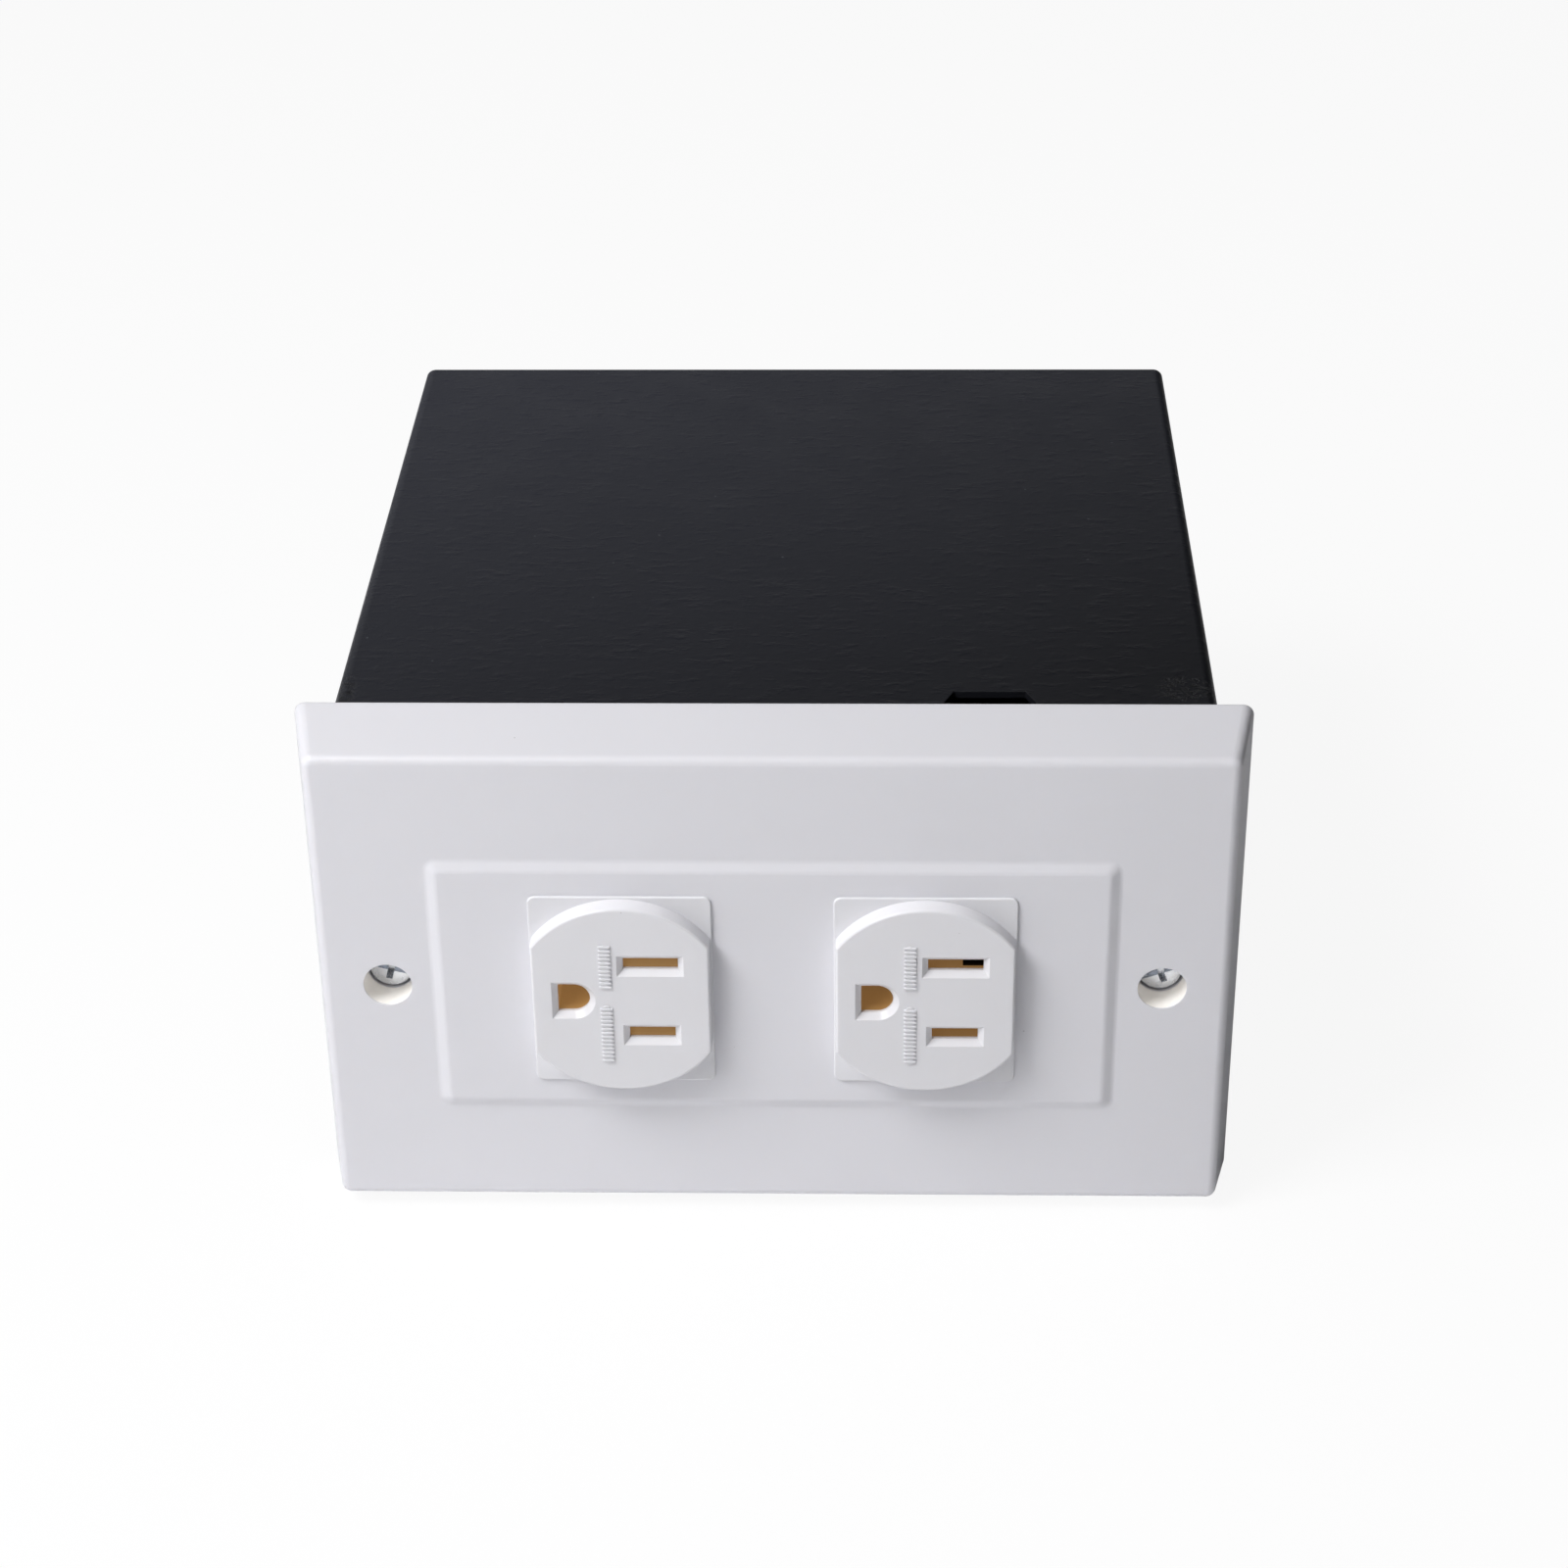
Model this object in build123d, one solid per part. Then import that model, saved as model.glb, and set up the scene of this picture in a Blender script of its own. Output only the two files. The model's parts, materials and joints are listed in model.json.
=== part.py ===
from build123d import *
import math
import os

# Two snap-in receptacles in a wide cover plate, on a deep sheet-steel wiring box. Sizes are in millimetres.
# Frame: origin at the centre of the cover's rear rim, +X right, +Y into the wall, +Z up. The front faces -Y.

# Cover plate
RIM_W, RIM_H = 144.3, 86.6  # outline of the rear rim
FRONT_W, FRONT_H = 139.1, 80.7  # outline of the front face, before its edge is rounded
COVER_DEPTH = 11.84
COVER_WALL = 2.4
PLATE_T = 3.0
RIM_CORNER_R, FRONT_CORNER_R = 1.8, 1.6
FRONT_EDGE_R = 1.4
PANEL_W, PANEL_H, PANEL_RISE, PANEL_BEVEL, PANEL_SOFT_R = 105.0, 45.3, 0.72, 1.6, 1.5
FRONT_Y = -COVER_DEPTH
PANEL_Y = FRONT_Y - PANEL_RISE
PLATE_REAR_Y = FRONT_Y + PLATE_T
LOCATING_RIB_XS, LOCATING_RIB_W, LOCATING_RIB_T, LOCATING_RIB_Y = (-46.0, 0.0, 46.0), 10.0, 1.8, 3.0

# Cover screws and their wells
SCREW_X = 59.5
WELL_R, WELL_FLOOR_Y = 3.75, -4.6
BOSS_R, COVER_HOLE_R = 5.6, 2.1
HEAD_R, HEAD_H, HEAD_EDGE_R = 3.43, 2.4, 0.4
SHANK_R, SHANK_L = 1.74, 15.6
THREAD_PITCH, THREAD_DEPTH = 0.8, 0.35
DRIVE_SLOT_W, DRIVE_SLOT_DEPTH, CROSS_L, CROSS_DEPTH = 1.0, 1.1, 4.2, 1.5
SCREW_TILT = {"left": -15.0, "right": 20.0}  # how far each drive slot is turned from level, degrees

# Wiring box
BOX_W, BOX_H, BOX_BACK_Y = 135.6, 77.4, 132.5
SHEET = 1.2
BEND_R = 1.8
SEAM_W = 0.3
NOTCH_X, NOTCH_W, NOTCH_FAR_W = 33.0, 14.0, 11.0
NOTCH_SIDE_Y, NOTCH_FAR_Y = 8.6, 12.0
FIX_HOLE_R, FIX_YS = 2.4, (25.0, 105.0)
KNOCKOUT_R, KNOCKOUT_GROOVE, KNOCKOUT_DEPTH, KNOCKOUT_TIE = 11.1, 0.4, 0.7, 3.0
BACK_KNOCKOUT_X, SIDE_KNOCKOUT_Y = 42.0, 65.0
TRAY_DEPTH, TRAY_GAP = 11.0, 0.1
INNER_X = BOX_W / 2 - SHEET
INNER_Z = BOX_H / 2 - SHEET

# Screw brackets
BRACKET_REACH, BRACKET_W, BRACKET_LEG, BRACKET_T = 14.0, 16.0, 16.0, 1.6
COLLAR_R, COLLAR_END_Y, TAPPED_R = 3.4, 4.4, 1.80

# Receptacles. U is measured sideways from a receptacle's centre, +U right.
RECEPTACLE_X = {"left": -23.2, "right": 23.2}
FACE_R, FACE_FLATS, FACE_RISE, FACE_EDGE_R = 16.65, 27.2, 2.9, 0.4
FLANGE_W, FLANGE_H, FLANGE_T, FLANGE_R, FLANGE_EDGE_R = 27.9, 33.85, 0.45, 1.2, 0.2
FLANGE_Y = PANEL_Y - FLANGE_T
FACE_Y = FLANGE_Y - FACE_RISE
FACE_WALL = 1.5
FACE_INNER_Y = FACE_Y + FACE_WALL
BODY_W, BODY_H, BODY_WALL, BODY_R = 25.2, 31.2, 1.4, 1.5
BODY_REAR_Y = 3.0
BODY_GAP = 0.3  # between a receptacle's body and the cover's cut-out
CAVITY_W, CAVITY_H, CAVITY_R = BODY_W - 2 * BODY_WALL, BODY_H - 2 * BODY_WALL, 15.25
STEP_Y = -11.4  # where the hollow turns from a round nose to a square body
LATCH_W, LATCH_RISE, LATCH_END_Y, LATCH_SLOT = 8.0, 1.4, -2.8, 0.8
MARK_U, MARK_W, MARK_RISE = -2.3, 1.3, 0.15  # plain raised bars beside the blade slots
MARK_SPANS = ((2.3, 10.2), (-11.6, -0.9))

# Blade slots and ground hole
SLOT_U, SLOT_Z = 4.6, 6.35
LEAD_IN = 0.9  # the chamfer round each opening
NEUTRAL_L, HOT_L, SLOT_H = 8.4, 7.05, 1.95
GROUND_U, GROUND_R, GROUND_FLAT = SLOT_U - 11.9, 2.45, 2.45

# Contact carrier, which fills the receptacle's hollow
CARRIER_GAP = 0.1
CARRIER_Y = FACE_INNER_Y + 0.05
POCKET_Y = CARRIER_Y + 3.2
POCKET_U, POCKET_Z = (-0.8, 9.8), (-11.8, 11.8)
POCKET_CORNERS = (2.0, 1.4)  # chamfers of the lower and upper right corners
CHAMBER_U, CHAMBER_Z = (0.3, 8.9), (3.9, 8.8)
PIN_TUNNEL_END_Y, PIN_CHAMBER_R = -5.6, 3.4

# Shutters slide down 3.3 mm to open. The right one rests part-open.
REST_DROP = {"left": 0.0, "right": 2.48}
SHUTTER_Y = (CARRIER_Y, POCKET_Y - 0.1)
SHUTTER_T = SHUTTER_Y[1] - SHUTTER_Y[0]
SHUTTER_U, SHUTTER_Z = (-0.7, 9.7), (-8.4, 11.7)
SHUTTER_CORNERS = (2.0, 1.3)
WINDOW_U, WINDOW_Z = (0.25, 8.95), (8.7, 10.8)
STEP_U, STEP_Z = 5.72, 7.2  # the neutral window reaches lower at its right end
HOT_WINDOW_U, HOT_WINDOW_Z = (0.9, 8.3), (-4.0, -1.8)
LUG_U, LUG_Z = (-3.9, -0.7), (3.0, 4.6)
LUG_POCKET_U, LUG_POCKET_TOP = (-4.0, -0.7), 4.8
SPRING_U, SPRING_SEAT_Z, SPRING_GAP = -2.4, -6.0, 0.03
SPRING_R, SPRING_WIRE_R, SPRING_TURNS = 0.95, 0.17, 8

# Contacts
STRIP_T, STRIP_W = 0.6, 6.0
STRIP_LINE = ((-10.4, 1.5), (-9.2, 0.85), (-5.5, 0.85), (0.0, 1.45), (2.4, 1.45))
CONTACT_BASE_Y = (2.4, 3.0)
TAB_W, TAB_T, TAB_END_Y, TAB_CORNER = 6.3, 0.8, 15.0, 1.0
SLEEVE_R, SLEEVE_BORE_R, SLEEVE_Y, SLEEVE_SLIT = 2.9, 2.4, -5.0, 0.8
TABS = ((SLOT_U, SLOT_Z, False), (SLOT_U, -SLOT_Z, False), (GROUND_U, 0.0, True))  # the last stands upright

# Receptacle rear cover and its screws
REAR_Y = (3.05, 7.0)
TAB_SLOT_GAP = 0.2
BODY_SCREWS = ((8.9, -11.9), (-8.9, 11.9))
BODY_SCREW_R, BODY_PILOT_R = 1.05, 1.10
BODY_HEAD_R, BODY_HEAD_H, BODY_HEAD_GAP = 1.9, 1.2, 0.2
COLUMN_HALF, COLUMN_Y = 2.2, -9.0

# Wiring
TERMINAL_Y, TERMINAL_GAP, TERMINAL_WALL = (7.6, 15.2), 0.1, 0.6
BARREL_Y, BARREL_R = (15.2, 19.5), 1.9
WIRE_R, WIRE_GAP, WIRE_START_Y = 1.35, 0.05, 16.7
BOOT_Y, BOOT_W, BOOT_T, BOOT_WALL, BOOT_R = (7.3, 21.0), 9.2, 4.9, 0.4, 1.2
SPLICE_Y, SPLICE_H, SPLICE_R, PORT_PITCH, PORT_WALL = (60.0, 78.0), 9.0, 1.5, 3.8, 1.0
SPLICE_Z = {"hot": -22.0, "ground": 0.0, "neutral": 22.0}
SPLICE_PORTS = {"hot": 3, "ground": 4, "neutral": 3}
PORT_DEPTH, PORT_R, WIRE_IN_PORT = 9.0, 1.45, 8.5
GROUND_SCREW_XY, GROUND_SCREW_R, GROUND_SCREW_L = (0.0, 50.0), 2.38, 2.9
GROUND_WASHER_R, GROUND_WASHER_T, GROUND_HEX, GROUND_HEX_H = 4.6, 0.8, 3.9, 3.2
GROUND_BOSS_R, GROUND_BOSS_H = 4.2, 2.6
GROUND_TOP_Z = -INNER_Z + GROUND_BOSS_H
RING_R, RING_BORE_R, RING_T, RING_BARREL_Y = 4.4, 2.6, 0.8, (39.5, 43.5)

# Cable clamp in the back plate
CLAMP_BORE_R, CLAMP_JAW_R, CLAMP_HUB_R = 7.0, 7.3, 10.6
CLAMP_FLANGE_R, CLAMP_FLANGE_T = 14.0, 3.0
CLAMP_HUB_Y, CLAMP_END_Y = 120.5, 149.0
TROUGH_Z, TROUGH_R = (-10.5, -1.0), 4.0
SADDLE_HALF_W, SADDLE_Y, SADDLE_Z, SADDLE_R = 16.0, (136.5, 148.0), (1.0, 9.0), 3.0
CLAMP_SCREW_X, CLAMP_SCREW_R, CLAMP_SCREW_L = 11.8, 1.9, 18.0
CLAMP_HEAD_R, CLAMP_HEAD_H, CLAMP_SCREW_TURN = 3.4, 2.4, 30.0
LOCKNUT_R, LOCKNUT_Y, LOCKNUT_NOTCHES = 14.2, (128.0, 131.25), 8


def block(x, y, z):
    """A box from its (low, high) spans on each axis."""
    size = [span[1] - span[0] for span in (x, y, z)]
    middle = [(span[1] + span[0]) / 2 for span in (x, y, z)]
    return Pos(*middle) * Box(*size)


def about(centre, half):
    """The span this far either side of a centre."""
    return (centre - half, centre + half)


def rod(x, z, y, r):
    """A round bar along Y at (x, z), over the depth span y."""
    return Pos(x, (y[0] + y[1]) / 2, z) * Rot(90, 0, 0) * Cylinder(r, y[1] - y[0])


def facing_front(y):
    """A plane at this depth whose sketches are drawn as seen from the front."""
    return Plane(origin=(0, y, 0), x_dir=(1, 0, 0), z_dir=(0, -1, 0))


def prism(sketch, y):
    """A sketch drawn from the front, made solid over the depth span y."""
    return extrude(facing_front(y[1]) * sketch, y[1] - y[0])


def tapered(rear, rear_y, front, front_y):
    """A solid between two sketches drawn from the front."""
    return loft([facing_front(rear_y) * rear, facing_front(front_y) * front])


def outline(*points):
    return make_face(Polyline(*points, close=True))


def side_profile(points, x):
    """An outline of (y, z) points, made solid over the width span x."""
    plane = Plane(origin=(x[0], 0, 0), x_dir=(0, 1, 0), z_dir=(1, 0, 0))
    return extrude(plane * outline(*points), x[1] - x[0])


def turned(points):
    """A solid of revolution about Z from (radius, height) points."""
    return revolve(Plane.XZ * outline(*points), axis=Axis.Z)


def grooved_shank(r, length):
    """Outline points, from the tip up to height 0, of a shank whose ring grooves stand for its thread."""
    root = r - THREAD_DEPTH
    points = [(0, -length), (root, -length)]
    height = -length + THREAD_DEPTH
    while height + THREAD_PITCH < 0:
        points += [(r, height), (r, height + THREAD_PITCH / 4), (root, height + 5 / 8 * THREAD_PITCH)]
        height += THREAD_PITCH
    return points + [(r, height), (r, 0)]


def coil(r, wire_r, turns, length):
    """A coil spring along Z that stands on z = 0."""
    rise = length - 2 * wire_r
    path = Helix(pitch=rise / turns, height=rise, radius=r)
    section = Plane(origin=path @ 0, z_dir=path % 0) * Circle(wire_r)
    return Pos(0, 0, wire_r) * sweep(section, path=path, is_frenet=True)


def wire(start, start_dir, bends, end, end_dir):
    """An insulated conductor with a straight run into each end, given as (point, depth inside)."""
    (p, p_in), (q, q_in) = start, end
    p, q = Vector(*p), Vector(*q)
    a, b = Vector(*start_dir), Vector(*end_dir)
    run = Line(p - a * p_in, p) + Spline(p, *bends, q, tangents=(a, b)) + Line(q, q + b * q_in)
    section = Plane(origin=run @ 0, z_dir=a) * Circle(WIRE_R)
    return sweep(section, path=run)


# Wiring box


def knockout_ring():
    """The groove round a knockout, centred on z = 0, with two uncut ties."""
    height = 2 * KNOCKOUT_DEPTH
    ring = Cylinder(KNOCKOUT_R, height) - Cylinder(KNOCKOUT_R - KNOCKOUT_GROOVE, height)
    return ring - Box(KNOCKOUT_TIE, 3 * KNOCKOUT_R, 2 * height)


def box_wrap():
    """Top, bottom and sides, folded from one sheet with a seam along the bottom."""
    outer = RectangleRounded(BOX_W, BOX_H, BEND_R)
    inner = RectangleRounded(2 * INNER_X, 2 * INNER_Z, BEND_R - SHEET)
    wrap = prism(outer - inner, (0, BOX_BACK_Y))
    wrap -= block(about(0, SEAM_W / 2), (-1, BOX_BACK_Y + 1), about(-BOX_H / 2, 2 * SHEET))
    near, far = NOTCH_W / 2, NOTCH_FAR_W / 2
    notch = outline(
        (NOTCH_X - near, -1),
        (NOTCH_X - near, NOTCH_SIDE_Y),
        (NOTCH_X - far, NOTCH_FAR_Y),
        (NOTCH_X + far, NOTCH_FAR_Y),
        (NOTCH_X + near, NOTCH_SIDE_Y),
        (NOTCH_X + near, -1),
    )
    wrap -= Pos(0, 0, INNER_Z - SHEET) * extrude(notch, 3 * SHEET)
    for y in FIX_YS:
        wrap -= Pos(0, y, 0) * Rot(0, 90, 0) * Cylinder(FIX_HOLE_R, BOX_W + 2)
    for x in (-BOX_W / 2, BOX_W / 2):
        wrap -= Pos(x, SIDE_KNOCKOUT_Y, 0) * Rot(0, 90, 0) * knockout_ring()
    return wrap + ground_boss() - ground_boss_hollow()


def ground_boss():
    """The floor is pressed up into a short boss that takes the ground screw."""
    x, y = GROUND_SCREW_XY
    return Pos(x, y, -INNER_Z + GROUND_BOSS_H / 2) * Cylinder(GROUND_BOSS_R, GROUND_BOSS_H)


def ground_boss_hollow():
    x, y = GROUND_SCREW_XY
    dimple = Pos(x, y, -BOX_H / 2) * Cylinder(GROUND_BOSS_R - SHEET, 2 * GROUND_BOSS_H)
    return dimple + Pos(x, y, -INNER_Z) * Cylinder(GROUND_SCREW_R + 0.05, 4 * GROUND_BOSS_H)


def box_back_plate():
    """A shallow tray whose flanges are welded inside the wrap."""
    w, h = 2 * (INNER_X - TRAY_GAP), 2 * (INNER_Z - TRAY_GAP)
    tray = prism(RectangleRounded(w, h, BEND_R), (BOX_BACK_Y - TRAY_DEPTH, BOX_BACK_Y))
    inside = RectangleRounded(w - 2 * SHEET, h - 2 * SHEET, BEND_R - SHEET)
    tray -= prism(inside, (BOX_BACK_Y - TRAY_DEPTH - 1, BOX_BACK_Y - SHEET))
    tray -= rod(0, 0, (BOX_BACK_Y - 3, BOX_BACK_Y + 1), CLAMP_HUB_R + 0.3)
    for x in (-BACK_KNOCKOUT_X, BACK_KNOCKOUT_X):
        tray -= Pos(x, BOX_BACK_Y, 0) * Rot(90, 0, 0) * knockout_ring()
    return tray


def screw_bracket(side):
    """A welded angle with a tapped collar for the cover screw."""
    width = about(0, BRACKET_W / 2)
    flange = block((INNER_X - BRACKET_REACH, INNER_X), (0, BRACKET_T), width)
    leg = block((INNER_X - BRACKET_T, INNER_X), (0, BRACKET_LEG), width)
    bracket = flange + leg + rod(SCREW_X, 0, (0, COLLAR_END_Y), COLLAR_R)
    bracket -= rod(SCREW_X, 0, (-1, COLLAR_END_Y + 1), TAPPED_R)
    return bracket if side == "right" else mirror(bracket, about=Plane.YZ)


# Cover plate


def front_cover():
    rim = RectangleRounded(RIM_W, RIM_H, RIM_CORNER_R)
    front = RectangleRounded(FRONT_W, FRONT_H, FRONT_CORNER_R)
    shell = tapered(rim, 0, front, FRONT_Y)
    shell = fillet(shell.faces().sort_by(Axis.Y)[0].edges(), FRONT_EDGE_R)
    panel = RectangleRounded(PANEL_W, PANEL_H, PANEL_BEVEL)
    top = RectangleRounded(PANEL_W - 2 * PANEL_BEVEL, PANEL_H - 2 * PANEL_BEVEL, PANEL_BEVEL / 2)
    raised = tapered(panel, FRONT_Y, top, PANEL_Y)
    shell += fillet(raised.faces().sort_by(Axis.Y)[0].edges(), PANEL_SOFT_R)
    shell = fillet(panel_foot(shell), PANEL_SOFT_R)
    shell -= cover_hollow()
    for x in (-SCREW_X, SCREW_X):
        shell += rod(x, 0, (PLATE_REAR_Y - 1, 0), BOSS_R)
        shell -= rod(x, 0, (FRONT_Y - 1, WELL_FLOOR_Y), WELL_R)
        shell -= rod(x, 0, (WELL_FLOOR_Y - 1, 1), COVER_HOLE_R)
    for x in RECEPTACLE_X.values():
        opening = RectangleRounded(BODY_W + 2 * BODY_GAP, BODY_H + 2 * BODY_GAP, BODY_R)
        shell -= Pos(x, 0, 0) * prism(opening, (PANEL_Y - 1, PLATE_REAR_Y + 1))
    for x in LOCATING_RIB_XS:
        shell += locating_rib(x, 1) + locating_rib(x, -1)
    return shell


def panel_foot(shell):
    """The edges where the raised panel meets the front face."""
    level = [edge for edge in shell.edges() if abs(edge.center().Y - FRONT_Y) < 0.001]
    beside = [edge for edge in level if abs(edge.center().X) < PANEL_W / 2 + 0.1]
    return [edge for edge in beside if abs(edge.center().Z) < PANEL_H / 2 + 0.1]


def cover_hollow():
    share = PLATE_REAR_Y / FRONT_Y  # how much of the skirt's draft has been used at the plate's rear
    w, h = RIM_W - 2 * COVER_WALL, RIM_H - 2 * COVER_WALL
    rear = RectangleRounded(w, h, RIM_CORNER_R / 2)
    front = RectangleRounded(w - (RIM_W - FRONT_W) * share, h - (RIM_H - FRONT_H) * share, RIM_CORNER_R / 2)
    return tapered(rear, 0, front, PLATE_REAR_Y)


def locating_rib(x, side):
    """A tab that reaches just inside the box's opening."""
    outer, inner = INNER_Z - 0.4, INNER_Z - 0.4 - LOCATING_RIB_T
    z = (inner, outer) if side > 0 else (-outer, -inner)
    return block(about(x, LOCATING_RIB_W / 2), (PLATE_REAR_Y - 0.5, LOCATING_RIB_Y), z)


def cover_screw(side):
    """A pan head with a combined slot and cross drive. Its seat is just clear of the well's floor."""
    edge = [(HEAD_R - HEAD_EDGE_R * (1 - math.sin(a)), -HEAD_EDGE_R * (1 - math.cos(a)))
            for a in (math.radians(step) for step in range(90, -1, -15))]
    profile = [(r, h + HEAD_H) for r, h in edge]
    screw = turned(grooved_shank(SHANK_R, SHANK_L) + [(HEAD_R, 0)] + profile + [(0, HEAD_H)])
    top = about(HEAD_H, DRIVE_SLOT_DEPTH)
    screw -= block(about(0, 2 * HEAD_R), about(0, DRIVE_SLOT_W / 2), top)
    deep = about(HEAD_H, CROSS_DEPTH)
    screw -= block(about(0, CROSS_L / 2), about(0, DRIVE_SLOT_W / 2), deep)
    screw -= block(about(0, DRIVE_SLOT_W / 2), about(0, CROSS_L / 2), deep)
    x = SCREW_X if side == "right" else -SCREW_X
    return Pos(x, WELL_FLOOR_Y - 0.02, 0) * Rot(90, 0, 0) * Rot(0, 0, SCREW_TILT[side]) * screw


# Receptacle parts, drawn about U = 0 and moved sideways into place


def d_shape(r, flat):
    """The ground hole's outline: round towards +U, closed by a flat side."""
    straight = Polyline((0, r), (-flat, r), (-flat, -r), (0, -r))
    return make_face(straight + ThreePointArc((0, -r), (r, 0), (0, r)))


def lead_in(outer, inner):
    """An opening through the face whose edge is chamfered."""
    cut = tapered(inner, FACE_Y + LEAD_IN, outer, FACE_Y)
    return cut + prism(inner, (FACE_Y + LEAD_IN - 0.01, FACE_INNER_Y + 0.5))


def slot_opening(length):
    outer = Rectangle(length + 2 * LEAD_IN, SLOT_H + 2 * LEAD_IN)
    return lead_in(outer, Rectangle(length, SLOT_H))


def receptacle_face():
    """The white moulding: raised face, flange, and the shell that holds the works."""
    nose = prism(Circle(FACE_R) & Rectangle(FACE_FLATS, 2 * FACE_R), (FACE_Y, PANEL_Y))
    nose = fillet(nose.faces().sort_by(Axis.Y)[0].edges(), FACE_EDGE_R)
    flange = prism(RectangleRounded(FLANGE_W, FLANGE_H, FLANGE_R), (FLANGE_Y, PANEL_Y))
    face = nose + fillet(flange.faces().sort_by(Axis.Y)[0].edges(), FLANGE_EDGE_R)
    face += prism(RectangleRounded(BODY_W, BODY_H, BODY_R), (PANEL_Y, BODY_REAR_Y))
    cavity = Rectangle(CAVITY_W, CAVITY_H)
    face -= prism(cavity & Circle(CAVITY_R), (FACE_INNER_Y, STEP_Y + 0.5))
    face -= prism(cavity, (STEP_Y, BODY_REAR_Y + 1))
    face -= Pos(SLOT_U, 0, SLOT_Z) * slot_opening(NEUTRAL_L)
    face -= Pos(SLOT_U, 0, -SLOT_Z) * slot_opening(HOT_L)
    wide = d_shape(GROUND_R + LEAD_IN, GROUND_FLAT + LEAD_IN)
    face -= Pos(GROUND_U, 0, 0) * lead_in(wide, d_shape(GROUND_R, GROUND_FLAT))
    for side in (1, -1):
        face -= latch_slots(side)
        face += latch(side)
    for u, z in BODY_SCREWS:
        face += column(u, z, COLUMN_HALF, (COLUMN_Y, BODY_REAR_Y))
        face -= rod(u, z, (COLUMN_Y + 2, BODY_REAR_Y + 1), BODY_PILOT_R)
    for low, high in MARK_SPANS:
        bar = Pos(MARK_U, (low + high) / 2) * RectangleRounded(MARK_W, high - low, MARK_W / 2.1)
        face += prism(bar, (FACE_Y - MARK_RISE, FACE_Y + 0.1))
    return face


def column(u, z, half, y):
    """A square post in a corner of the body, fused with both walls."""
    reach_u, reach_z = CAVITY_W / 2 + 0.2, CAVITY_H / 2 + 0.2
    u_span = (u - half, reach_u) if u > 0 else (-reach_u, u + half)
    z_span = (z - half, reach_z) if z > 0 else (-reach_z, z + half)
    return block(u_span, y, z_span)


def latch(side):
    """The wedge that snaps behind the cover plate."""
    low, high = BODY_H / 2 - 0.2, BODY_H / 2 + LATCH_RISE
    catch = PLATE_REAR_Y + 0.05
    points = ((catch, low), (catch, high), (catch + 1, high), (LATCH_END_Y, low))
    return side_profile([(y, side * z) for y, z in points], about(0, LATCH_W / 2))


def latch_slots(side):
    """The U-shaped slot that leaves the latch on a springy tongue."""
    z = about(side * (BODY_H / 2 - BODY_WALL / 2), BODY_WALL)
    end = LATCH_END_Y + LATCH_SLOT
    slots = block(about(0, LATCH_W / 2 + LATCH_SLOT), (LATCH_END_Y, end), z)
    for u in (-1, 1):
        middle = u * (LATCH_W + LATCH_SLOT) / 2
        slots += block(about(middle, LATCH_SLOT / 2), (PLATE_REAR_Y - 0.5, end), z)
    return slots


def cut_corner_plate(u, z, corners):
    """A plate outline whose right-hand corners are chamfered: (lower, upper)."""
    low, high = corners
    return outline(
        (u[0], z[0]),
        (u[1] - low, z[0]),
        (u[1], z[0] + low),
        (u[1], z[1] - high),
        (u[1] - high, z[1]),
        (u[0], z[1]),
    )


def contact_carrier():
    w, h = CAVITY_W - 2 * CARRIER_GAP, CAVITY_H - 2 * CARRIER_GAP
    carrier = prism(Rectangle(w, h) & Circle(CAVITY_R - CARRIER_GAP), (CARRIER_Y, STEP_Y + 1))
    carrier += prism(Rectangle(w, h), (STEP_Y + CARRIER_GAP, BODY_REAR_Y))
    carrier -= prism(cut_corner_plate(POCKET_U, POCKET_Z, POCKET_CORNERS), (CARRIER_Y - 1, POCKET_Y))
    carrier -= block(LUG_POCKET_U, (CARRIER_Y - 1, POCKET_Y), (SPRING_SEAT_Z, LUG_POCKET_TOP))
    for side in (1, -1):
        z = sorted(side * edge for edge in CHAMBER_Z)
        carrier -= block(CHAMBER_U, (POCKET_Y - 1, BODY_REAR_Y + 1), z)
    tunnel = d_shape(GROUND_R, GROUND_FLAT)
    carrier -= Pos(GROUND_U, 0, 0) * prism(tunnel, (CARRIER_Y - 1, PIN_TUNNEL_END_Y + 1))
    carrier -= rod(GROUND_U, 0, (PIN_TUNNEL_END_Y, BODY_REAR_Y + 1), PIN_CHAMBER_R)
    for u, z in BODY_SCREWS:
        carrier -= column(u, z, COLUMN_HALF + CARRIER_GAP, (COLUMN_Y - CARRIER_GAP, BODY_REAR_Y + 1))
    return carrier


def ramp_cut(low_z, u):
    """Clears the space in front of a 45 degree ramp that rises from low_z at the shutter's front."""
    front = SHUTTER_Y[0]
    top = low_z + SHUTTER_T
    return side_profile([(front - 1, low_z - 1), (front + SHUTTER_T, top), (front - 1, top)], u)


def step_cut():
    """Clears the window's lower right end, behind a ridge on the ramp."""
    ridge = SHUTTER_Y[1] - (WINDOW_Z[0] - STEP_Z)
    back = SHUTTER_Y[1] + 0.5
    top = WINDOW_Z[0] + 0.1
    points = [(ridge, STEP_Z), (back, STEP_Z - (back - ridge)), (back, top), (ridge, top)]
    return side_profile(points, (STEP_U, WINDOW_U[1]))


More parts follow.
